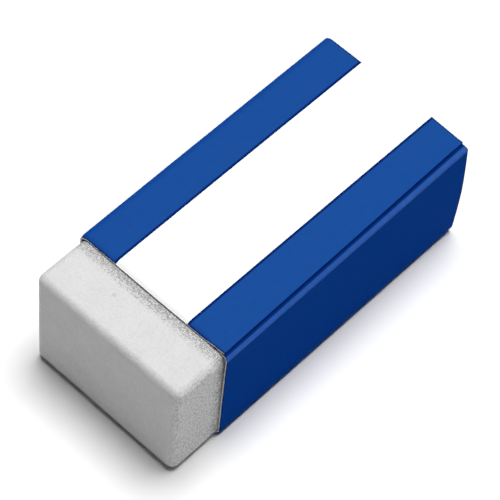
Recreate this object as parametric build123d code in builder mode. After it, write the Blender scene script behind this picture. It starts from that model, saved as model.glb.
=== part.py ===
from build123d import *
import os

# A block eraser in a folded card sleeve. All sizes are in millimetres.
# X runs across the eraser, Y along it towards the covered end, and Z up.
# The origin is at the middle of the object's footprint, on the surface it lies on.

# Driving dimensions: the block
block_width = 19.54
block_height = 14.7
block_length = 42.6
block_edge_radius = 1.0
exposed_length = 6.5  # stretch of the block that stands out of the sleeve

# Driving dimensions: the sleeve
card = 0.2  # thickness of the card
glue = 0.03  # thickness of the dried glue
ink = 0.03  # depth of the printed layer
side_gap = 0.08  # between the block and each side panel
flat_gap = 0.06  # between the block and the card above and below it
fold_radius = 1.0  # outside radius of a fold
seam_fold_radius = 0.3  # outside radius of the fold that starts the glued flap
seam_setback = 0.7  # the top panel's free edge stops this far short of the side
flap_width = 14.0
flap_recess = 1.0  # the flap ends this far inside each mouth
flap_shoulder = 0.5  # full-length stretch of the flap before its corners are cut
glue_margin = 1.0  # bare strip between the glue and the flap's edges

# Driving dimensions: the print
band_width = 4.8  # each blue band beside a white stripe
ink_lap = 0.3  # how far the side's ink runs in under the top panel's free edge

# Heights of the layers, from the surface up
block_bottom = card + flat_gap
block_top = block_bottom + block_height
flap_bottom = block_top + flat_gap
flap_top = flap_bottom + card
top_panel_bottom = flap_top + glue
sleeve_top = top_panel_bottom + card

# Places across and along
half_inside = block_width / 2 + side_gap
half_width = half_inside + card
free_edge_x = half_width - seam_setback
ink_start_x = free_edge_x - ink_lap
flap_shoulder_x = ink_start_x - flap_shoulder
flap_edge_x = half_inside - flap_width
far_end_y = block_length / 2
mouth_y = exposed_length - block_length / 2
sleeve_length = far_end_y - mouth_y

# Sections of the sleeve are drawn at its far end and extruded towards its mouth
section_plane = Plane.XZ.offset(-far_end_y)


def band(points, radii, thickness):
    """A band of the given thickness on the inner side of a clockwise outline."""
    with BuildSketch(section_plane) as section:
        with BuildLine():
            FilletPolyline(*points, radius=radii)
            offset(amount=thickness, side=Side.RIGHT)
        make_face()
    return section.sketch


# The soft block, with all its edges rounded by the mould and the tumbler
with BuildPart() as eraser_block:
    with BuildSketch(Plane.XY.offset(block_bottom)):
        Rectangle(block_width, block_length)
    extrude(amount=block_height)
    fillet(eraser_block.edges(), radius=block_edge_radius)


# Blue ink on the left: a band of the top panel, the left side, a band of the bottom
left_ink_outline = [
    (-half_width + band_width, 0),
    (-half_width, 0),
    (-half_width, sleeve_top),
    (-half_width + band_width, sleeve_top),
]
with BuildPart() as print_left_blue:
    extrude(to_extrude=band(left_ink_outline, [fold_radius] * 2, ink), amount=sleeve_length)


# Blue ink on the right: the start of the flap, the right side, a band of the bottom
right_ink_outline = [
    (ink_start_x, flap_top),
    (half_width, flap_top),
    (half_width, 0),
    (half_width - band_width, 0),
]
right_ink_radii = [seam_fold_radius, fold_radius]
with BuildPart() as print_right_blue:
    extrude(to_extrude=band(right_ink_outline, right_ink_radii, ink), amount=sleeve_length)


# Blue ink on the top panel's right band, which also covers the panel's free edge
top_ink_outline = [
    (free_edge_x - band_width, sleeve_top),
    (free_edge_x, sleeve_top),
    (free_edge_x, top_panel_bottom),
]
with BuildPart() as print_top_right_blue:
    extrude(to_extrude=band(top_ink_outline, [0], ink), amount=sleeve_length)


# One strip of card, folded four times: flap, right side, bottom, left side, top panel
right_card_outline = [
    (flap_edge_x, flap_top),
    (half_width, flap_top),
    (half_width, 0),
    (0, 0),
]
left_card_outline = [
    (0, 0),
    (-half_width, 0),
    (-half_width, sleeve_top),
    (free_edge_x, sleeve_top),
]
with BuildPart() as sleeve_card:
    right_card = band(right_card_outline, [seam_fold_radius, fold_radius], card)
    extrude(to_extrude=right_card, amount=sleeve_length)
    left_card = band(left_card_outline, [fold_radius] * 2, card)
    extrude(to_extrude=left_card, amount=sleeve_length)
    # The flap is cut back from both mouths, with its corners at 45 degrees
    with BuildSketch(Plane.XY.offset(flap_bottom)):
        with Locations((0, mouth_y + sleeve_length / 2)):
            for end in (-1, 1):
                with BuildLine():
                    Polyline(
                        (flap_edge_x, end * sleeve_length / 2),
                        (flap_shoulder_x, end * sleeve_length / 2),
                        (flap_shoulder_x - flap_recess, end * (sleeve_length / 2 - flap_recess)),
                        (flap_edge_x, end * (sleeve_length / 2 - flap_recess)),
                        close=True,
                    )
                make_face()
    extrude(amount=card, mode=Mode.SUBTRACT)
    # The ink lies in the card's outer surface
    for printed_layer in (print_left_blue, print_right_blue, print_top_right_blue):
        add(printed_layer.part, mode=Mode.SUBTRACT)


# The glue that holds the top panel down on the flap
glue_width = ink_start_x - glue_margin - (flap_edge_x + glue_margin)
glue_length = sleeve_length - 2 * (flap_recess + glue_margin)
with BuildPart() as seam_glue:
    with BuildSketch(Plane.XY.offset(flap_top)):
        with Locations((flap_edge_x + glue_margin + glue_width / 2, mouth_y + sleeve_length / 2)):
            Rectangle(glue_width, glue_length)
    extrude(amount=glue)


eraser_block.part.label = "eraser_block"
sleeve_card.part.label = "sleeve_card"
seam_glue.part.label = "seam_glue"
print_left_blue.part.label = "print_left_blue"
print_right_blue.part.label = "print_right_blue"
print_top_right_blue.part.label = "print_top_right_blue"

os.makedirs("parts", exist_ok=True)
export_step(eraser_block.part, "parts/eraser_block.step")
export_step(sleeve_card.part, "parts/sleeve_card.step")
export_step(seam_glue.part, "parts/seam_glue.step")
export_step(print_left_blue.part, "parts/print_left_blue.step")
export_step(print_right_blue.part, "parts/print_right_blue.step")
export_step(print_top_right_blue.part, "parts/print_top_right_blue.step")
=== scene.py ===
"""Looks of a block eraser in a folded card sleeve, built around its CAD frame.

The card is one strip that runs along an outline: flap, right side, bottom, left side, top panel.
Card and ink are lattices of points along that outline, and glue is a flat one. One function bends
them all, so that they stay together. Shapes are worked out in millimetres and stored in metres.
"""

import math

import bmesh
import bpy
import numpy as np
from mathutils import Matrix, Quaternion, Vector


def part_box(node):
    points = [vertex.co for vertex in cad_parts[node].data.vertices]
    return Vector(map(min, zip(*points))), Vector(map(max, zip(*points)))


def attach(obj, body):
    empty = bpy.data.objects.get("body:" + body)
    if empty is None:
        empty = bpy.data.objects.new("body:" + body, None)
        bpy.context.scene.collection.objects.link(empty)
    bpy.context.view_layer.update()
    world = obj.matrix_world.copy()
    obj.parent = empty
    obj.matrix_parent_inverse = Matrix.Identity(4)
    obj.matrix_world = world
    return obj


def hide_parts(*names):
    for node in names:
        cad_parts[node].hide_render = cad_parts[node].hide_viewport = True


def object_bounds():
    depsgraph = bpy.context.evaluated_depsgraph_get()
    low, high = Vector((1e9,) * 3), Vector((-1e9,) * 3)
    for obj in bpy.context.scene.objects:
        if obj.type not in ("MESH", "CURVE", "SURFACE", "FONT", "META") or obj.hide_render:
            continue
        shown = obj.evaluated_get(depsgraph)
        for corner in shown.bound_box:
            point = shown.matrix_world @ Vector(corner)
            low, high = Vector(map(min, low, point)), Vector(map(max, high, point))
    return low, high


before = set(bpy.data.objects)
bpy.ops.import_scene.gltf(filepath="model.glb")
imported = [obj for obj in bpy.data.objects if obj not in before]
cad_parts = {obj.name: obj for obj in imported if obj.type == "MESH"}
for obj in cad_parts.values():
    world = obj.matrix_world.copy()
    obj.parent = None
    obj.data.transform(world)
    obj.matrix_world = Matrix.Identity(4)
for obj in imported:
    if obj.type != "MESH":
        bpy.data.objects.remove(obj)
cad_low, cad_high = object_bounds()

METRES = 0.001  # metres in a millimetre
PER_MM = 1000.0  # turns object coordinates into millimetres

# ---------------------------------------------------------------- sizes, in millimetres


def box_mm(node):
    """A CAD node's lowest and highest corners, in millimetres."""
    low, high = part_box(node)
    return np.array(low) / METRES, np.array(high) / METRES


BLOCK_LOW, BLOCK_HIGH = box_mm("eraser_block")
LEFT_INK_LOW, LEFT_INK_HIGH = box_mm("print_left_blue")
RIGHT_INK_LOW, RIGHT_INK_HIGH = box_mm("print_right_blue")
TOP_INK_LOW, TOP_INK_HIGH = box_mm("print_top_right_blue")
GLUE_LOW, GLUE_HIGH = box_mm("seam_glue")
CARD_HIGH = box_mm("sleeve_card")[1]

MOUTH_Y, FAR_Y = LEFT_INK_LOW[1], LEFT_INK_HIGH[1]
HALF_WIDTH = RIGHT_INK_HIGH[0]
SLEEVE_TOP = LEFT_INK_HIGH[2]
FLAP_TOP = RIGHT_INK_HIGH[2]
FREE_EDGE_X = TOP_INK_HIGH[0]
CARD = SLEEVE_TOP - GLUE_HIGH[2]  # thickness of the card
INK = HALF_WIDTH - CARD_HIGH[0]  # depth of the printed layer
INK_LAP = 0.3  # how far the side's ink runs in under the top panel's free edge
GLUE_MARGIN = 1.0  # bare strip between the glue and the flap's edges
FLAP_SHOULDER = 0.5  # full-length stretch of the flap before its corners are cut
FOLD_RADIUS = 1.0  # outside radius of a fold
SEAM_FOLD_RADIUS = 0.3  # outside radius of the fold that starts the glued flap
EDGE_RADIUS = 1.0  # of the block's edges
INK_START_X = FREE_EDGE_X - INK_LAP
SHOULDER_X = INK_START_X - FLAP_SHOULDER
FLAP_EDGE_X = GLUE_LOW[0] - GLUE_MARGIN
FLAP_RECESS = GLUE_LOW[1] - GLUE_MARGIN - MOUTH_Y
GLUE_THICKNESS = GLUE_HIGH[2] - GLUE_LOW[2]

# How far the panels bow
TOP_BOW = 0.07
BOTTOM_BOW = 0.02  # upwards, off the floor
SIDE_BOW = 0.02
LEFT_BELLY = 0.06  # more than SIDE_BOW, in the middle of the left side
RIGHT_FLARE = 0.2  # more than SIDE_BOW, at the far end of the right side
LEFT_FOLD_OUT = 0.07  # how far out the top left fold stands
PANEL_RIPPLE = 0.01

# How far to the right of their square places these lie, at the near mouth and at the far end
STRIPE_SKEW = (0.105, 0.345)
FREE_EDGE_SKEW = (0.113, -0.132)
SEAM_FOLD_SKEW = (0.17, -0.09)
STRIPE_NARROWING = 0.11  # less than STRIPE_SKEW by this at the right side, and more at the left
CREASE_SHADE_FOLLOWS = 0.75  # share of the free edge's skew that the painted shade line beside it follows

# How far the cuts are out of square
TOP_CUT_BACK = 0.1  # the near cut, towards the top's right
SIDE_CUT_OUT = 0.3  # the near cut, from the free edge to the top of the right side
FAR_CUT_BACK = 0.2  # the far cut, towards the top's right
FAR_CUT_START = 0.45  # share of the half width from which the far cut goes back
CUT_RAMP = 3.0  # that eases off over this length of sleeve

# The near mouth closes in on the block
MOUTH_CURL = 0.5  # over this length
MOUTH_SINK = 0.24
SINK_RAMP = 1.5  # the top panel's sink fades out over this width, towards the flap's shoulder
SIDE_SINK = 0.05
CORNER_PINCH = 0.16

# The top panel's free edge stands up
EDGE_LIFT = 0.03
EDGE_LIFT_WAVE = 0.012
EDGE_SWELL = 0.14  # where it was cut
NEAR_PRESS, NEAR_PRESS_RAMP = 0.5, 2.0  # share pressed down at the near mouth, over this length
FAR_PRESS, FAR_PRESS_RAMP = 0.65, 3.0  # and at the far end

SAME_PLACE = 1e-5  # points nearer than this are one point

# ---------------------------------------------------------------- mesh helpers


def smoothstep(low, high, value):
    """0 below low, 1 above high, and smooth between."""
    t = np.clip((value - low) / (high - low), 0, 1)
    return t * t * (3 - 2 * t)


def from_to(ends, along):
    """A value that runs evenly from the first of two ends to the second."""
    return ends[0] + (ends[1] - ends[0]) * along


def ripples(points, wavelength, seed):
    """A smooth random field between about -1 and 1 at each point, from seeded plane waves."""
    draw = np.random.default_rng(seed)
    total = np.zeros(points.shape[:-1])
    waves = 14
    for _ in range(waves):
        direction = draw.normal(size=3)
        direction /= np.linalg.norm(direction)
        pitch = wavelength * draw.uniform(0.7, 1.6)
        phase = draw.uniform(0, 2 * math.pi)
        total += np.sin(points @ direction * 2 * math.pi / pitch + phase)
    return total / math.sqrt(2 * waves)


def side_quads(index):
    """Quads over a two-way grid of vertex numbers."""
    corners = (index[:-1, :-1], index[1:, :-1], index[1:, 1:], index[:-1, 1:])
    return np.stack(corners, axis=-1).reshape(-1, 4)


def lattice_piece(name, points, materials, side_materials=(0,) * 6, fields=None):
    """A closed mesh over the six sides of a lattice of points, shaped (a, b, c, 3), in mm.

    side_materials has a material number for the low and high side along a, b and c.
    fields are numbers kept on the vertices for the materials to read, shaped (a, b, c).
    """
    shape = points.shape[:3]
    outside = np.ones(shape, bool)
    outside[1:-1, 1:-1, 1:-1] = False
    index = np.full(shape, -1)
    index[outside] = np.arange(outside.sum())
    sides = [
        side_quads(index[0])[:, ::-1],
        side_quads(index[-1]),
        side_quads(index[:, 0].T)[:, ::-1],
        side_quads(index[:, -1].T),
        side_quads(index[:, :, 0])[:, ::-1],
        side_quads(index[:, :, -1]),
    ]
    quads = np.concatenate(sides)
    places = points[outside] * METRES
    a, b, c, d = (places[quads[:, k]] for k in range(4))
    volume = np.einsum("ij,ij->", np.cross(a, b), c) + np.einsum("ij,ij->", np.cross(a, c), d)
    if volume < 0:
        quads = quads[:, ::-1]
    mesh = bpy.data.meshes.new(name)
    mesh.from_pydata(places.tolist(), [], quads.tolist())
    numbers = np.concatenate([np.full(len(s), m) for s, m in zip(sides, side_materials)])
    mesh.polygons.foreach_set("material_index", numbers.astype(np.int32))
    mesh.shade_smooth()
    mesh.set_sharp_from_angle(angle=math.radians(50))
    for field, values in (fields or {}).items():
        layer = mesh.attributes.new(field, "FLOAT", "POINT")
        layer.data.foreach_set("value", values[outside].astype(np.float32))
    for material in materials:
        mesh.materials.append(material)
    # Points that coincide are merged, and the faces without area between them go
    shell = bmesh.new()
    shell.from_mesh(mesh)
    bmesh.ops.remove_doubles(shell, verts=shell.verts, dist=SAME_PLACE * METRES)
    bmesh.ops.dissolve_degenerate(shell, edges=shell.edges, dist=SAME_PLACE * METRES)
    shell.to_mesh(mesh)
    shell.free()
    piece = bpy.data.objects.new(name, mesh)
    bpy.context.scene.collection.objects.link(piece)
    return piece


# ---------------------------------------------------------------- the sleeve's shape


def outline_samples(corners, step=0.55, arc_steps=9):
    """Points, outward normals and arc lengths along a clockwise outline in X and Z.

    Each corner is (x, z, radius). A radius of 0 is a point on a straight run.
    """
    points, normals = [], []

    def add_run(start, end):
        heading = (end - start) / np.linalg.norm(end - start)
        count = max(1, round(np.linalg.norm(end - start) / step))
        for k in range(count + 1):
            points.append(start + (end - start) * k / count)
            normals.append(np.array([-heading[1], heading[0]]))

    here = np.array(corners[0][:2])
    for number in range(1, len(corners)):
        x, z, radius = corners[number]
        corner = np.array([x, z])
        if radius == 0:
            add_run(here, corner)
            here = corner
            continue
        inward = (corner - here) / np.linalg.norm(corner - here)
        onward = np.array(corners[number + 1][:2]) - corner
        onward /= np.linalg.norm(onward)
        add_run(here, corner - inward * radius)
        centre = corner - inward * radius + onward * radius
        for k in range(1, arc_steps):
            turn = 0.5 * math.pi * k / arc_steps
            spoke = -onward * math.cos(turn) + inward * math.sin(turn)
            points.append(centre + spoke * radius)
            normals.append(spoke)
        here = corner + onward * radius
    points, normals = np.array(points), np.array(normals)
    # Runs that follow one another share a point, which is kept once
    gap = np.linalg.norm(np.diff(points, axis=0), axis=1)
    kept = np.concatenate([[True], gap > SAME_PLACE])
    points, normals = points[kept], normals[kept]
    length = np.concatenate([[0], np.cumsum(np.linalg.norm(np.diff(points, axis=0), axis=1))])
    return points, normals, length


def sleeve_rows():
    """Fractions of the sleeve's length, close together at both mouths."""
    length = FAR_Y - MOUTH_Y
    near = np.array([0, 0.03, 0.08, 0.2, 0.4, 0.7, 1.1])
    even_from, even_rows = 1.6, 62
    middle = np.linspace(even_from, length - even_from, even_rows)
    return np.concatenate([near, middle, length - near[::-1]]) / length


class Place:
    """Where points of the square sleeve lie in it."""

    def __init__(self, points):
        self.x, self.y, self.z = points[..., 0], points[..., 1], points[..., 2]
        self.across = self.x / HALF_WIDTH  # -1 at the left side, 1 at the right
        self.up = (self.z - SLEEVE_TOP / 2) / (SLEEVE_TOP / 2)  # -1 at the bottom, 1 at the top
        self.along = (self.y - MOUTH_Y) / (FAR_Y - MOUTH_Y)  # 0 at the near mouth, 1 at the far end
        self.right, self.left = np.clip(self.across, 0, 1), np.clip(-self.across, 0, 1)
        self.high, self.low = np.clip(self.up, 0, 1), np.clip(-self.up, 0, 1)
        self.mid_width = np.clip(1 - self.across**2, 0, 1)
        self.mid_height = np.clip(1 - self.up**2, 0, 1)
        self.mid_length = np.sin(math.pi * np.clip(self.along, 0, 1))
        self.on_top = self.z > FLAP_TOP + GLUE_THICKNESS / 2


def bow(at, points):
    """The panels bow and are faintly wavy: how far that moves points across and up."""
    right = (SIDE_BOW + RIGHT_FLARE * at.along**2) * at.mid_height * at.right
    left = (SIDE_BOW + LEFT_BELLY * at.mid_length) * at.mid_height * at.left
    left += LEFT_FOLD_OUT * at.left**4 * at.high**2
    top = TOP_BOW * at.mid_length * at.mid_width * at.high
    bottom = BOTTOM_BOW * at.mid_width * at.low
    wave = PANEL_RIPPLE * ripples(points, wavelength=9.0, seed=3) * at.mid_length
    across = right - left + wave * at.mid_height * np.sign(at.across)
    return across, top + bottom + wave * at.mid_width * at.high


def skew(at):
    """Print, seam and cuts are a little askew: how far that moves points across and along."""
    on_left = smoothstep(SLEEVE_TOP - FOLD_RADIUS, SLEEVE_TOP - CARD, at.z)
    in_panel = np.where(at.x < FLAP_EDGE_X, on_left, at.on_top)
    stripe = from_to(STRIPE_SKEW, at.along) - STRIPE_NARROWING * at.across
    inside_band = TOP_INK_LOW[0] + 1
    by_free_edge = smoothstep(inside_band, FREE_EDGE_X, at.x) * at.on_top
    across = stripe * at.mid_width * in_panel
    across += from_to(FREE_EDGE_SKEW, at.along) * by_free_edge
    across += from_to(SEAM_FOLD_SKEW, at.along) * at.right**4 * at.high
    # Each cut is further in at the top right, but the near one is further out past the free edge
    near_cut = TOP_CUT_BACK * at.right - SIDE_CUT_OUT * smoothstep(FREE_EDGE_X, HALF_WIDTH, at.x)
    near_cut *= smoothstep(CUT_RAMP, 0.0, at.y - MOUTH_Y)
    far_cut = FAR_CUT_BACK * np.clip((at.across - FAR_CUT_START) / (1 - FAR_CUT_START), 0, 1)
    far_cut *= smoothstep(CUT_RAMP, 0.0, FAR_Y - at.y)
    return across, (near_cut - far_cut) * at.high


def close_in(at):
    """The near mouth closes in on the block: how far that moves points across and up."""
    curled = smoothstep(MOUTH_CURL, 0.0, at.y - MOUTH_Y)
    # Past the flap's cut-back end nothing holds the top panel up, so its cut edge curls down
    free = smoothstep(-HALF_WIDTH, FOLD_RADIUS - HALF_WIDTH, at.x)
    free *= smoothstep(SHOULDER_X, SHOULDER_X - SINK_RAMP, at.x)
    sunk = MOUTH_SINK * curled * free * at.high * (at.on_top | (at.x < 0))
    # The three plain folds are pinched in towards the block's rounded edges
    block_half = (BLOCK_HIGH - BLOCK_LOW) / 2
    from_middle = np.abs(at.z - SLEEVE_TOP / 2)
    by_side = smoothstep(block_half[0] - EDGE_RADIUS, HALF_WIDTH, np.abs(at.x))
    by_flat = smoothstep(block_half[2] - EDGE_RADIUS, SLEEVE_TOP / 2, from_middle)
    pinch = CORNER_PINCH * curled * by_side * by_flat * ((at.x < 0) | (at.up < 0))
    drawn_in = pinch + SIDE_SINK * curled * at.mid_height * np.abs(at.across)
    return -drawn_in * np.sign(at.across), -sunk - pinch * np.sign(at.up)


def lift_free_edge(at):
    """The top panel's free edge isn't glued: how far up it lies, but less near both ends."""
    loose = smoothstep(FREE_EDGE_X - GLUE_MARGIN, FREE_EDGE_X, at.x) * at.on_top
    waves, phase = 1.3, 0.8
    raised = EDGE_LIFT + EDGE_LIFT_WAVE * np.sin(2 * math.pi * at.along * waves + phase)
    swollen = EDGE_SWELL * np.clip((at.z - TOP_INK_LOW[2]) / CARD, 0, 1)
    pressed = FAR_PRESS * smoothstep(FAR_PRESS_RAMP, 0.0, FAR_Y - at.y)
    pressed += NEAR_PRESS * smoothstep(NEAR_PRESS_RAMP, 0.0, at.y - MOUTH_Y)
    return loose * (1 - pressed) * (raised + swollen)


def bend_sleeve(points):
    """Moves points of the square sleeve to where the card, its ink and its glue lie."""
    at = Place(points)
    bow_across, bow_up = bow(at, points)
    skew_across, skew_along = skew(at)
    close_across, close_up = close_in(at)
    moved = points.copy()
    moved[..., 0] += bow_across + skew_across + close_across
    moved[..., 1] += skew_along
    moved[..., 2] += bow_up + close_up + lift_free_edge(at)
    return moved


def lip(depth):
    """How far a cut edge is rounded back at a depth below the card's outer surface."""
    rounding, slope = 0.05, 0.7
    return slope * np.clip(rounding - np.minimum(depth, CARD - depth), 0, rounding)


def sheet_lattice(points, normals, depths, starts):
    """A lattice over an outline, the sleeve's length and depths below the outer surface.

    depths has one row of depths for each outline point; starts says how far inside both
    mouths the sheet ends at each outline point.
    """
    rows = sleeve_rows()
    length = FAR_Y - MOUTH_Y
    lattice = np.zeros((len(points), len(rows), depths.shape[1], 3))
    placed = points[:, None, :] - normals[:, None, :] * depths[:, :, None]
    lattice[..., 0] = placed[:, None, :, 0]
    lattice[..., 2] = placed[:, None, :, 1]
    inset = starts[:, None, None]
    lattice[..., 1] = MOUTH_Y + inset + rows[None, :, None] * (length - 2 * inset)
    rounded = lip(depths)[:, None, :]
    at_mouth = (rows == 0).astype(float) - (rows == 1)
    lattice[..., 1] += rounded * at_mouth[None, :, None]
    return lattice


def mouth_distance(lattice):
    """Distance to the nearer mouth, kept for wear."""
    return np.minimum(lattice[..., 1] - MOUTH_Y, FAR_Y - lattice[..., 1])


# ---------------------------------------------------------------- material helpers


class Nodes:
    """A material's node tree with short calls for the nodes that these materials share."""

    def __init__(self, name):
        self.material = bpy.data.materials.new(name)
        self.material.use_nodes = True
        self.tree = self.material.node_tree
        self.shader = self.tree.nodes["Principled BSDF"]
        coordinate = self.tree.nodes.new("ShaderNodeTexCoord")
        scale = self.tree.nodes.new("ShaderNodeVectorMath")
        scale.operation = "SCALE"
        scale.inputs["Scale"].default_value = PER_MM
        self.tree.links.new(coordinate.outputs["Object"], scale.inputs[0])
        self.mm = scale.outputs[0]

    def link(self, output, target):
        self.tree.links.new(output, target)

    def put(self, socket, value):
        """A socket takes a number, a colour or another node's output."""
        if isinstance(value, bpy.types.NodeSocket):
            self.link(value, socket)
        else:
            socket.default_value = value

    def noise(self, scale, detail=2.0, roughness=0.5, distortion=0.0, stretch=None):
        """Noise with scale features a millimetre, stretched by a vector if one is given."""
        node = self.tree.nodes.new("ShaderNodeTexNoise")
        node.inputs["Scale"].default_value = scale
        node.inputs["Detail"].default_value = detail
        node.inputs["Roughness"].default_value = roughness
        node.inputs["Distortion"].default_value = distortion
        source = self.mm
        if stretch:
            mapping = self.tree.nodes.new("ShaderNodeMapping")
            mapping.inputs["Scale"].default_value = stretch
            self.link(self.mm, mapping.inputs["Vector"])
            source = mapping.outputs[0]
        self.link(source, node.inputs["Vector"])
        return node.outputs["Fac"]

    def cells(self, scale):
        """Distance to the nearest of scattered points, and that point's random colour."""
        node = self.tree.nodes.new("ShaderNodeTexVoronoi")
        node.inputs["Scale"].default_value = scale
        self.link(self.mm, node.inputs["Vector"])
        return node.outputs["Distance"], node.outputs["Color"]

    def spot(self, place, inner, outer):
        """1 within inner of a place in millimetres, fading to 0 at outer."""
        node = self.tree.nodes.new("ShaderNodeVectorMath")
        node.operation = "DISTANCE"
        self.link(self.mm, node.inputs[0])
        node.inputs[1].default_value = place
        return self.fade(node.outputs["Value"], inner, outer)

    def field(self, name):
        """Numbers kept on a mesh's vertices."""
        node = self.tree.nodes.new("ShaderNodeAttribute")
        node.attribute_name = name
        return node.outputs["Fac"]

    def math(self, operation, first, second):
        """One sum on two numbers or outputs."""
        node = self.tree.nodes.new("ShaderNodeMath")
        node.operation = operation
        self.put(node.inputs[0], first)
        self.put(node.inputs[1], second)
        return node.outputs[0]

    def times(self, first, second):
        """The product of two numbers or outputs."""
        return self.math("MULTIPLY", first, second)

    def spread(self, value, low, high, out_low=0.0, out_high=1.0, smooth=True):
        """Maps low..high to out_low..out_high, held at both ends."""
        node = self.tree.nodes.new("ShaderNodeMapRange")
        node.interpolation_type = "SMOOTHSTEP" if smooth else "LINEAR"
        self.put(node.inputs["Value"], value)
        ends = {"From Min": low, "From Max": high, "To Min": out_low, "To Max": out_high}
        for socket, number in ends.items():
            self.put(node.inputs[socket], number)
        return node.outputs["Result"]

    def vary(self, noise, low, high):
        """Maps the usual range of a noise to low..high."""
        return self.spread(noise, 0.3, 0.7, low, high)

    def fade(self, value, low, high):
        """1 below low and 0 above high."""
        return self.spread(value, low, high, 1.0, 0.0)

    def mix(self, factor, first, second):
        """Mixes two colours."""
        node = self.tree.nodes.new("ShaderNodeMix")
        node.data_type = "RGBA"
        self.put(node.inputs["Factor"], factor)
        self.put(node.inputs["A"], first)
        self.put(node.inputs["B"], second)
        return node.outputs["Result"]

    def shade(self, tone, colour):
        """A colour darkened by a tone from 0, black, to 1."""
        return self.mix(tone, grey(0.0), colour)

    def bump(self, height, distance_mm, under=None):
        """A normal for bumps of this height, on top of the bumps under them if any."""
        node = self.tree.nodes.new("ShaderNodeBump")
        node.inputs["Strength"].default_value = 1.0
        node.inputs["Distance"].default_value = distance_mm * METRES
        self.link(height, node.inputs["Height"])
        if under is not None:
            self.link(under, node.inputs["Normal"])
        return node.outputs["Normal"]


# ---------------------------------------------------------------- materials

FLECK = (-2.8, MOUTH_Y - 2.5, BLOCK_HIGH[2])  # a dark speck in the block's top
STRIPE_SMUDGE = (2.1, MOUTH_Y + 8.6, SLEEVE_TOP)
CREASE_SHADE_WIDTH = 0.29  # of the painted shade line beside the free edge


def grey(value):
    """An opaque grey."""
    return (value, value, value, 1.0)


VINYL_WHITE = grey(0.668)
COATED_WHITE = grey(0.93)
RAW_BOARD_GREY = (0.74, 0.71, 0.66, 1.0)
CUT_EDGE_WHITE = (0.84, 0.83, 0.81, 1.0)
GLUE_YELLOW = (0.82, 0.78, 0.64, 1.0)
TOP_BLUE = (0.0105, 0.071, 0.303, 1.0)
# A deeper blue for the side panels: painted shade
SIDE_SHADE_BLUE = (0.0015, 0.052, 0.31, 1.0)
# Dark blue for the print's borders, and for the painted shade in the crease by the free edge
BORDER_AND_SHADE_BLUE = (0.0005, 0.012, 0.11, 1.0)
# A lighter blue where the ink is thinned along the fold, with a painted highlight there
THIN_AND_LIT_BLUE = (0.1, 0.22, 0.62, 1.0)
CHIPPED_BLUE = (0.45, 0.55, 0.72, 1.0)


def vinyl():
    """Moulded white vinyl: fine grain, clouds and smudges, rubbings with painted shade in a stipple by
    the sleeve, and painted shade on the end face.
    """
    n = Nodes("white_vinyl")
    grain = n.noise(6.0, detail=4.0, roughness=0.65)
    fine = n.noise(17.0, detail=2.0)
    clouds = n.noise(0.3, detail=4.0, roughness=0.6, distortion=0.5)
    smudges = n.noise(0.7, detail=3.0, roughness=0.5, distortion=1.2)
    tone = n.times(n.vary(clouds, 0.955, 1.0), n.spread(grain, 0.25, 0.75, 0.93, 1.0))
    tone = n.times(tone, n.spread(smudges, 0.55, 0.75, 1.0, 0.955))
    # Rubbings gather in a stippled band outside the sleeve's mouth, and painted shade darkens the band
    # towards the mouth, where the sleeve's edge shades the block
    scuff_and_shade = n.field("scuff_and_shade")
    crowding = n.math("ADD", n.noise(6.6, detail=1.0, roughness=0.8), n.times(scuff_and_shade, 0.16))
    specks = n.times(n.spread(crowding, 0.57, 0.65), n.spread(scuff_and_shade, 0.0, 0.3))
    grime_and_shade = n.math("ADD", n.times(specks, 0.42), n.times(scuff_and_shade, 0.12))
    tone = n.times(tone, n.math("SUBTRACT", 1.0, grime_and_shade))
    # The exposed end face is painted a little greyer: painted shade
    tone = n.times(tone, n.spread(n.field("shaded_end"), 0.2, 0.9, 1.0, 0.88))
    # Fine grains are lighter and darker, most of all on the long sides
    grains = n.noise(5.2, detail=1.0, roughness=0.8, stretch=(1.0, 1.0, 0.6))
    grit = n.spread(grains, 0.3, 0.7, 0.7, -0.7, smooth=False)
    tone = n.times(tone, n.math("ADD", 1.0, n.times(grit, n.field("grit"))))
    # A few dark specks are moulded in, and a fainter, wider one in the top
    near, pick = n.cells(0.21)
    speck = n.times(n.fade(near, 0.012, 0.03), n.spread(pick, 0.6, 0.62))
    fleck = n.times(n.spot(FLECK, 0.08, 0.34), 0.2)
    speck = n.math("MAXIMUM", n.times(speck, 0.35), fleck)
    tone = n.times(tone, n.math("SUBTRACT", 1.0, speck))
    n.put(n.shader.inputs["Base Color"], n.shade(tone, VINYL_WHITE))
    n.put(n.shader.inputs["Roughness"], n.vary(grain, 0.52, 0.7))
    n.shader.inputs["Subsurface Weight"].default_value = 0.15
    n.shader.inputs["Subsurface Radius"].default_value = (1.0, 0.95, 0.9)
    n.shader.inputs["Subsurface Scale"].default_value = 0.6 * METRES
    n.shader.inputs["Specular IOR Level"].default_value = 0.4
    soft = n.bump(smudges, 0.03)
    pitted = n.bump(grain, 0.03, under=soft)
    pitted = n.bump(grains, 0.012, under=pitted)
    n.put(n.shader.inputs["Normal"], n.bump(fine, 0.01, under=pitted))
    return n.material


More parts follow.
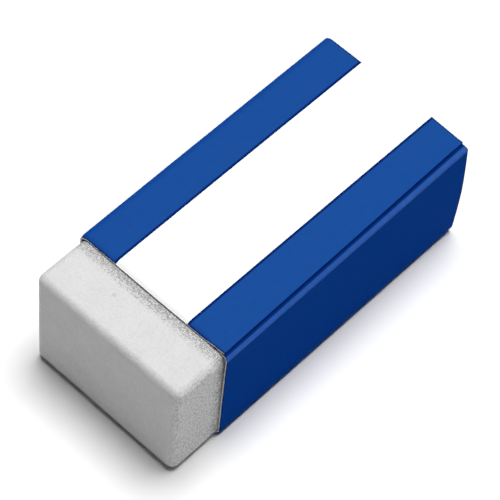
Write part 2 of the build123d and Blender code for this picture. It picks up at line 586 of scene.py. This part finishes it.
def coated_card():
    """The white, clay-coated face of the card."""
    n = Nodes("coated_card")
    fibre = n.noise(3.5, detail=4.0, roughness=0.6)
    fine = n.noise(14.0, detail=2.0)
    clouds = n.noise(0.25, detail=3.0)
    tone = n.times(n.vary(clouds, 0.985, 1.0), n.vary(fibre, 0.985, 1.0))
    rubbed = n.times(n.fade(n.field("mouth"), 0.0, 0.35), n.spread(fibre, 0.45, 0.6))
    smudge = n.times(n.spot(STRIPE_SMUDGE, 0.1, 0.6), n.spread(fibre, 0.35, 0.65, 0.0, 0.1))
    marks = n.math("MAXIMUM", n.times(rubbed, 0.12), smudge)
    tone = n.times(tone, n.math("SUBTRACT", 1.0, marks))
    n.put(n.shader.inputs["Base Color"], n.shade(tone, COATED_WHITE))
    n.put(n.shader.inputs["Roughness"], n.vary(fibre, 0.4, 0.52))
    waves = n.bump(clouds, 0.02)
    fibres = n.bump(fibre, 0.008, under=waves)
    n.put(n.shader.inputs["Normal"], n.bump(fine, 0.002, under=fibres))
    return n.material


def raw_board():
    """The uncoated inside of the card: greyish fibres, mostly along the sleeve."""
    n = Nodes("raw_board")
    fibre = n.noise(5.0, detail=4.0, roughness=0.7, stretch=(1.0, 0.25, 1.0))
    clouds = n.noise(0.4, detail=3.0)
    near, pick = n.cells(1.4)
    fleck = n.times(n.fade(near, 0.05, 0.12), n.spread(pick, 0.55, 0.6))
    tone = n.times(n.vary(fibre, 0.86, 1.0), n.vary(clouds, 0.94, 1.0))
    tone = n.times(tone, n.math("SUBTRACT", 1.0, n.times(fleck, 0.3)))
    n.put(n.shader.inputs["Base Color"], n.shade(tone, RAW_BOARD_GREY))
    n.put(n.shader.inputs["Roughness"], n.vary(fibre, 0.85, 0.95))
    n.put(n.shader.inputs["Normal"], n.bump(fibre, 0.025))
    return n.material


def cut_edge():
    """The card's cut edge: pale fibres in layers."""
    n = Nodes("card_cut_edge")
    layers = n.noise(9.0, detail=3.0, roughness=0.6, stretch=(0.35, 1.0, 0.35))
    fluff = n.noise(12.0, detail=3.0, roughness=0.7)
    tone = n.times(n.vary(layers, 0.84, 1.0), n.vary(fluff, 0.9, 1.0))
    n.put(n.shader.inputs["Base Color"], n.shade(tone, CUT_EDGE_WHITE))
    n.shader.inputs["Roughness"].default_value = 0.92
    n.shader.inputs["Specular IOR Level"].default_value = 0.1
    n.put(n.shader.inputs["Normal"], n.bump(n.math("ADD", layers, fluff), 0.03))
    return n.material


def blue_ink():
    """Matt blue ink, darker along its borders and rubbed at the edges, with painted shade on the side
    panels and in the crease by the free edge, and a painted highlight along the fold.
    """
    n = Nodes("blue_ink")
    mottle = n.noise(1.1, detail=4.0, roughness=0.6)
    fibre = n.noise(3.5, detail=4.0, roughness=0.6)
    fine = n.noise(14.0, detail=2.0)
    tone = n.times(n.vary(mottle, 0.93, 1.0), n.vary(fibre, 0.95, 1.0))
    # The side panels are painted a deeper blue than the top and the bottom: painted shade
    colour = n.mix(n.field("side_panel_shade"), TOP_BLUE, SIDE_SHADE_BLUE)
    ink = n.shade(tone, colour)
    # It is darker along borders and mouths, and painted shade darkens the crease by the free edge
    border = n.math("MAXIMUM", n.fade(n.field("rim"), 0.2, 0.34), n.fade(n.field("mouth"), 0.1, 0.22))
    seam = n.field("past_free_edge")
    softness = 0.05
    crease_shade = n.fade(seam, CREASE_SHADE_WIDTH - softness, CREASE_SHADE_WIDTH + softness)
    dark = n.math("MAXIMUM", n.times(border, 0.9), n.times(crease_shade, 0.85))
    ink = n.mix(dark, ink, BORDER_AND_SHADE_BLUE)
    # The ink is worn off in tiny chips at the mouths, and along the fold by the seam it is thinned and
    # painted lighter as a painted highlight
    chips = n.times(n.fade(n.field("mouth"), 0.02, 0.1), n.spread(fibre, 0.55, 0.6))
    by_fold = n.times(n.math("SUBTRACT", 1.0, crease_shade), n.fade(seam, 0.98, 1.1))
    thinned_and_lit = n.times(by_fold, n.spread(seam, 0.35, 0.9, 0.1, 0.42))
    thinned_and_lit = n.times(thinned_and_lit, n.vary(mottle, 0.85, 1.0))
    ink = n.mix(thinned_and_lit, ink, THIN_AND_LIT_BLUE)
    ink = n.mix(n.times(chips, 0.4), ink, CHIPPED_BLUE)
    n.put(n.shader.inputs["Base Color"], ink)
    n.put(n.shader.inputs["Roughness"], n.vary(fibre, 0.46, 0.58))
    n.shader.inputs["Specular IOR Level"].default_value = 0.001
    waves = n.bump(mottle, 0.006)
    fibres = n.bump(fibre, 0.0025, under=waves)
    n.put(n.shader.inputs["Normal"], n.bump(fine, 0.002, under=fibres))
    return n.material


def dried_glue():
    """Dried white glue, slightly yellow, with bubbles."""
    n = Nodes("dried_glue")
    lumps = n.noise(1.5, detail=3.0)
    near, _ = n.cells(1.6)
    bubble = n.fade(near, 0.1, 0.25)
    tone = n.times(n.vary(lumps, 0.85, 1.0), n.spread(bubble, 0, 1, 1.0, 0.9))
    n.put(n.shader.inputs["Base Color"], n.shade(tone, GLUE_YELLOW))
    n.put(n.shader.inputs["Roughness"], n.vary(lumps, 0.25, 0.5))
    n.put(n.shader.inputs["Normal"], n.bump(lumps, 0.02))
    return n.material


def pale_floor():
    """A faintly cloudy, matt white floor."""
    n = Nodes("pale_floor")
    tone = n.vary(n.noise(0.05, detail=3.0), 0.985, 1.0)
    n.put(n.shader.inputs["Base Color"], n.shade(tone, grey(0.88)))
    n.shader.inputs["Roughness"].default_value = 0.9
    n.shader.inputs["Specular IOR Level"].default_value = 0.1
    return n.material


def backdrop_glow():
    """A glow as bright as the lit floor."""
    n = Nodes("backdrop_glow")
    n.shader.inputs["Base Color"].default_value = grey(0.0)
    n.shader.inputs["Specular IOR Level"].default_value = 0.0
    n.shader.inputs["Emission Color"].default_value = grey(1.0)
    n.shader.inputs["Emission Strength"].default_value = 1.0
    return n.material


# ---------------------------------------------------------------- the sleeve

CORNER_INK_RADIUS = 0.06  # where the ink goes over the top panel's free edge
NO_SEAM_NEAR = 10.0  # distance past the free edge on ink that isn't beside it
FLAP_RUN = [
    (FLAP_EDGE_X, FLAP_TOP, 0),
    (SHOULDER_X - FLAP_RECESS, FLAP_TOP, 0),
    (SHOULDER_X, FLAP_TOP, 0),
    (INK_START_X, FLAP_TOP, 0),
]
RIGHT_INK_RUN = [
    (INK_START_X, FLAP_TOP, 0),
    (HALF_WIDTH, FLAP_TOP, SEAM_FOLD_RADIUS),
    (HALF_WIDTH, 0.0, FOLD_RADIUS),
    (RIGHT_INK_LOW[0], 0.0, 0),
]
BOTTOM_RUN = [(RIGHT_INK_LOW[0], 0.0, 0), (LEFT_INK_HIGH[0], 0.0, 0)]
LEFT_INK_RUN = [
    (LEFT_INK_HIGH[0], 0.0, 0),
    (-HALF_WIDTH, 0.0, FOLD_RADIUS),
    (-HALF_WIDTH, SLEEVE_TOP, FOLD_RADIUS),
    (LEFT_INK_HIGH[0], SLEEVE_TOP, 0),
]
TOP_RUN = [(LEFT_INK_HIGH[0], SLEEVE_TOP, 0), (TOP_INK_LOW[0], SLEEVE_TOP, 0)]
UNDER_TOP_INK_RUN = [(TOP_INK_LOW[0], SLEEVE_TOP, 0), (FREE_EDGE_X - INK, SLEEVE_TOP, 0)]
TOP_INK_RUN = [
    (TOP_INK_LOW[0], SLEEVE_TOP, 0),
    (FREE_EDGE_X, SLEEVE_TOP, CORNER_INK_RADIUS),
    (FREE_EDGE_X, TOP_INK_LOW[2], 0),
]


def build_card(materials):
    """The folded card, with shallow beds for the ink."""
    runs = [
        (FLAP_RUN, 0.0),
        (RIGHT_INK_RUN, INK),
        (BOTTOM_RUN, 0.0),
        (LEFT_INK_RUN, INK),
        (TOP_RUN, 0.0),
        (UNDER_TOP_INK_RUN, INK),
    ]
    sampled = [(outline_samples(run), bed) for run, bed in runs]
    points = np.concatenate([samples[0] for samples, _ in sampled])
    normals = np.concatenate([samples[1] for samples, _ in sampled])
    beds = np.concatenate([np.full(len(samples[0]), bed) for samples, bed in sampled])
    layers = np.array([0.0, 0.12, 0.5, 0.88, 1.0])
    depths = beds[:, None] + layers * (CARD - beds[:, None])
    on_flap = np.arange(len(points)) < len(sampled[0][0][0])
    starts = np.clip(SHOULDER_X - points[:, 0], 0, FLAP_RECESS) * on_flap
    lattice = sheet_lattice(points, normals, depths, starts)
    fields = {"mouth": mouth_distance(lattice)}
    outer, inner, cut = 0, 1, 2
    sides = (cut, cut, cut, cut, outer, inner)
    card = lattice_piece("card_sleeve", bend_sleeve(lattice), materials, sides, fields)
    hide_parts("sleeve_card")
    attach(card, "sleeve")


def build_ink(name, node, run, material):
    """One printed area, lying in its bed in the card."""
    points, normals, length = outline_samples(run)
    depths = np.tile([0.0, INK], (len(points), 1))
    lattice = sheet_lattice(points, normals, depths, np.zeros(len(points)))
    shape = lattice.shape[:3]
    rim = np.minimum(length, length[-1] - length)
    past_free_edge = np.full(len(length), NO_SEAM_NEAR)
    if node == "print_top_right_blue":
        rim = length
    if node == "print_right_blue":
        rim = length[-1] - length
        past_free_edge = length - INK_LAP
    # The painted shade in the crease follows the free edge, which is askew, but the fold beyond it
    # doesn't
    by_free_edge = smoothstep(0.7, 0.4, past_free_edge)[:, None, None]
    slip = CREASE_SHADE_FOLLOWS * from_to(FREE_EDGE_SKEW, Place(lattice).along) * by_free_edge
    fields = {
        "mouth": mouth_distance(lattice),
        "rim": np.broadcast_to(rim[:, None, None], shape),
        "past_free_edge": past_free_edge[:, None, None] - slip,
        # How much of the side panels' painted shade blue each point gets
        "side_panel_shade": np.broadcast_to(np.abs(normals[:, 0])[:, None, None], shape),
    }
    ink = lattice_piece(name, bend_sleeve(lattice), [material], fields=fields)
    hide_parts(node)
    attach(ink, "sleeve")


def build_glue(material):
    """The dried film of glue between the flap and the top panel, with an uneven outline."""
    x = np.linspace(GLUE_LOW[0], GLUE_HIGH[0], 24)
    y = np.linspace(GLUE_LOW[1], GLUE_HIGH[1], 64)
    z = np.array([GLUE_LOW[2], GLUE_HIGH[2]])
    lattice = np.stack(np.meshgrid(x, y, z, indexing="ij"), axis=-1)
    middle = (GLUE_LOW + GLUE_HIGH) / 2
    shrink = 1 - 0.03 * (1 + ripples(lattice, wavelength=5.0, seed=11))
    lattice[..., :2] = middle[:2] + (lattice[..., :2] - middle[:2]) * shrink[..., None]
    glue = lattice_piece("glue_film", bend_sleeve(lattice), [material])
    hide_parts("seam_glue")
    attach(glue, "sleeve")


# ---------------------------------------------------------------- the eraser block

BLOCK_SWELL = 0.03  # how much fuller the block is where it stands out
BLOCK_DISH = 0.025  # how far its faces are dished
SCUFF_AND_SHADE_WIDTH = 1.7  # of the band of rubbings and painted shade outside the sleeve's mouth


def rounded_axis(half, step, arc_steps=7):
    """Places along one axis of a box with rounded edges, from -half to half."""
    turns = np.linspace(0, math.pi / 4, arc_steps + 1)[1:]
    edge = half - EDGE_RADIUS + EDGE_RADIUS * np.tan(turns)
    count = round(2 * (half - EDGE_RADIUS) / step)
    flat = np.linspace(EDGE_RADIUS - half, half - EDGE_RADIUS, count + 1)
    return np.concatenate([-edge[::-1], flat, edge])


def build_block(material):
    """The vinyl block: rounded, faintly dished, and a little fuller where it stands out."""
    middle = (BLOCK_LOW + BLOCK_HIGH) / 2
    half = (BLOCK_HIGH - BLOCK_LOW) / 2
    axes = [rounded_axis(size, step=0.45) for size in half]
    lattice = np.stack(np.meshgrid(*axes, indexing="ij"), axis=-1)
    core = np.clip(lattice, EDGE_RADIUS - half, half - EDGE_RADIUS)
    spoke = lattice - core
    reach = np.linalg.norm(spoke, axis=-1, keepdims=True)
    normal = np.divide(spoke, reach, out=np.zeros_like(spoke), where=reach > 0)
    placed = core + normal * EDGE_RADIUS
    share = np.clip(1 - (placed / half) ** 2, 0, 1)
    dish = sum(normal[..., k] ** 2 * share[..., (k + 1) % 3] * share[..., (k + 2) % 3] for k in range(3))
    outside = MOUTH_Y - middle[1] - placed[..., 1]
    around = np.sqrt(normal[..., 0] ** 2 + normal[..., 2] ** 2)
    swell = smoothstep(0.3, 2.0, outside) * around
    uneven = 0.012 * ripples(placed, wavelength=7.0, seed=5)
    uneven += 0.008 * ripples(placed, wavelength=2.5, seed=6)
    offset = BLOCK_SWELL * swell - BLOCK_DISH * dish + uneven
    # Rubbings and painted shade where the sleeve's mouth meets the block, and gritty most of all on both
    # long sides
    scuff_and_shade = smoothstep(-0.8, -0.2, outside) * smoothstep(SCUFF_AND_SHADE_WIDTH, 0.0, outside) * around
    grit = 0.08 + 0.62 * normal[..., 0] ** 2
    placed = placed + normal * offset[..., None] + middle
    # The exposed end face is marked here for the painted shade that greys it
    fields = {"scuff_and_shade": scuff_and_shade, "grit": grit, "shaded_end": np.clip(-normal[..., 1], 0, 1)}
    block = lattice_piece("vinyl_block", placed, [material], fields=fields)
    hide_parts("eraser_block")
    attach(block, "block")


# ---------------------------------------------------------------- studio

CENTRE = (cad_low + cad_high) / 2
KEY_DIRECTION = Vector((-0.01, 0.1, 0.6))  # from the object to the light
FLOOR_HALF = 2.0  # metres
BACKDROP_FOOT = -0.1  # metres, below the floor


def add_camera():
    """A long lens above the exposed end's right corner, rolled a little."""
    azimuth, elevation, roll = math.radians(37.8), math.radians(56.2), math.radians(6.7)
    distance = 0.2627
    aim = CENTRE + Vector((-0.14, -0.1, 0.0)) * METRES
    back = Vector(
        (
            math.sin(azimuth) * math.cos(elevation),
            -math.cos(azimuth) * math.cos(elevation),
            math.sin(elevation),
        )
    )
    data = bpy.data.cameras.new("camera")
    data.sensor_width = 36.0
    data.lens = 184.5
    data.clip_start, data.clip_end = 0.01, 20.0
    camera = bpy.data.objects.new("camera", data)
    camera.location = aim + back * distance
    camera.rotation_mode = "QUATERNION"
    level = (-back).to_track_quat("-Z", "Y")
    camera.rotation_quaternion = level @ Quaternion((0, 0, 1), roll)
    bpy.context.scene.collection.objects.link(camera)
    bpy.context.scene.camera = camera


def add_key_light():
    """A wide, soft overhead light from a little behind, the same all over the floor."""
    data = bpy.data.lights.new("key", "SUN")
    data.energy = 3.7
    data.angle = math.radians(31)
    light = bpy.data.objects.new("key", data)
    light.location = CENTRE + KEY_DIRECTION
    light.rotation_mode = "QUATERNION"
    light.rotation_quaternion = KEY_DIRECTION.to_track_quat("Z", "Y")
    bpy.context.scene.collection.objects.link(light)


def stage_mesh(name, vertices, faces, material):
    """A mesh that belongs to the studio and not to the object."""
    mesh = bpy.data.meshes.new(name)
    mesh.from_pydata(vertices, [], faces)
    mesh.materials.append(material)
    piece = bpy.data.objects.new(name, mesh)
    bpy.context.scene.collection.objects.link(piece)
    return piece


def add_floor():
    """A square of floor under the object."""
    half = FLOOR_HALF
    corners = [(-half, -half, 0), (half, -half, 0), (half, half, 0), (-half, half, 0)]
    stage_mesh("floor", corners, [(0, 1, 2, 3)], pale_floor())


def add_backdrop():
    """A pale wall all round, which the camera sees but which lights nothing."""
    count = 48
    turns = [2 * math.pi * k / count for k in range(count)]
    ring = [(FLOOR_HALF * math.cos(turn), FLOOR_HALF * math.sin(turn)) for turn in turns]
    low = [(x, y, BACKDROP_FOOT) for x, y in ring]
    high = [(x, y, FLOOR_HALF) for x, y in ring]
    walls = [(k, (k + 1) % count, count + (k + 1) % count, count + k) for k in range(count)]
    ceiling = [tuple(range(2 * count - 1, count - 1, -1))]
    backdrop = stage_mesh("backdrop", low + high, walls + ceiling, backdrop_glow())
    backdrop.visible_diffuse = False
    backdrop.visible_glossy = False
    backdrop.visible_transmission = False
    backdrop.visible_shadow = False


def add_studio():
    """Light, floor and backdrop, shown without a film look."""
    world = bpy.data.worlds.new("studio")
    world.use_nodes = True
    background = world.node_tree.nodes["Background"]
    background.inputs["Color"].default_value = grey(1.0)
    background.inputs["Strength"].default_value = 0.04
    bpy.context.scene.world = world
    bpy.context.scene.view_settings.view_transform = "Standard"
    add_key_light()
    add_floor()
    add_backdrop()


add_camera()
build_card([coated_card(), raw_board(), cut_edge()])
ink_material = blue_ink()
build_ink("ink_left", "print_left_blue", LEFT_INK_RUN, ink_material)
build_ink("ink_right", "print_right_blue", RIGHT_INK_RUN, ink_material)
build_ink("ink_top_right", "print_top_right_blue", TOP_INK_RUN, ink_material)
build_glue(dried_glue())
build_block(vinyl())
add_studio()
